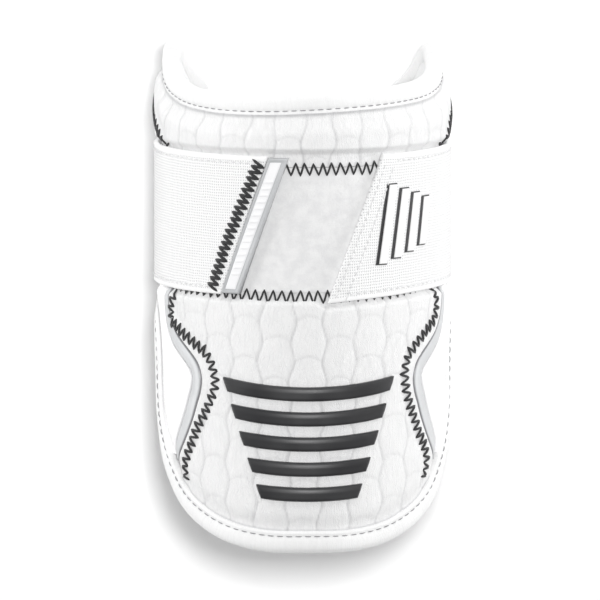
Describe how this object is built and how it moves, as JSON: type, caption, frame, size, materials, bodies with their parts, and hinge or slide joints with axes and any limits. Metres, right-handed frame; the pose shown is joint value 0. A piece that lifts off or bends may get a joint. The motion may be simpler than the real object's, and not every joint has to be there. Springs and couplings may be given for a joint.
{
  "type": "elbow guard",
  "caption": "Padded elbow guard: a quilted cuff open at the back with a long rounded tongue, hard side windows, a stitched binding and one wide elastic strap.",
  "frame": {"origin": "middle of the bounding box, on the surface the guard lies on", "axes": "+X to the right side seen from the front, +Y up the arm from the tongue to the collar, +Z out of the front face; the flat back of the strap is down"},
  "size_m": [0.114, 0.1892, 0.1005],
  "materials": {
    "knit": "white knitted polyester, quilted",
    "binding": "white stretch binding, stitched",
    "lining": "white brushed lining on foam",
    "window": "clear-coated white plastic film",
    "trim": "satin pale grey strip",
    "loop": "brushed white loop pile",
    "elastic": "white knitted elastic",
    "tab": "silver grey moulded tab",
    "black_rubber": "satin black moulding",
    "white_rubber": "satin white moulding"
  },
  "bodies": {
    "root": {"pad_shell": "lining", "edge_binding": "binding", "upper_quilt": "knit", "lower_quilt": "knit", "side_shield_left": "window", "side_shield_right": "window", "wing_panel_left": "knit", "wing_panel_right": "knit", "trim_band_left": "trim", "trim_band_right": "trim", "loop_patch": "loop", "elastic_strap": "elastic", "pull_tab": "tab", "impact_rib_1": "black_rubber", "impact_rib_2": "black_rubber", "impact_rib_3": "black_rubber", "impact_rib_4": "black_rubber", "impact_rib_5": "black_rubber", "strap_bar_1": "white_rubber", "strap_bar_2": "white_rubber", "strap_bar_3": "white_rubber", "strap_bar_4": "white_rubber"}
  },
  "joints": []
}
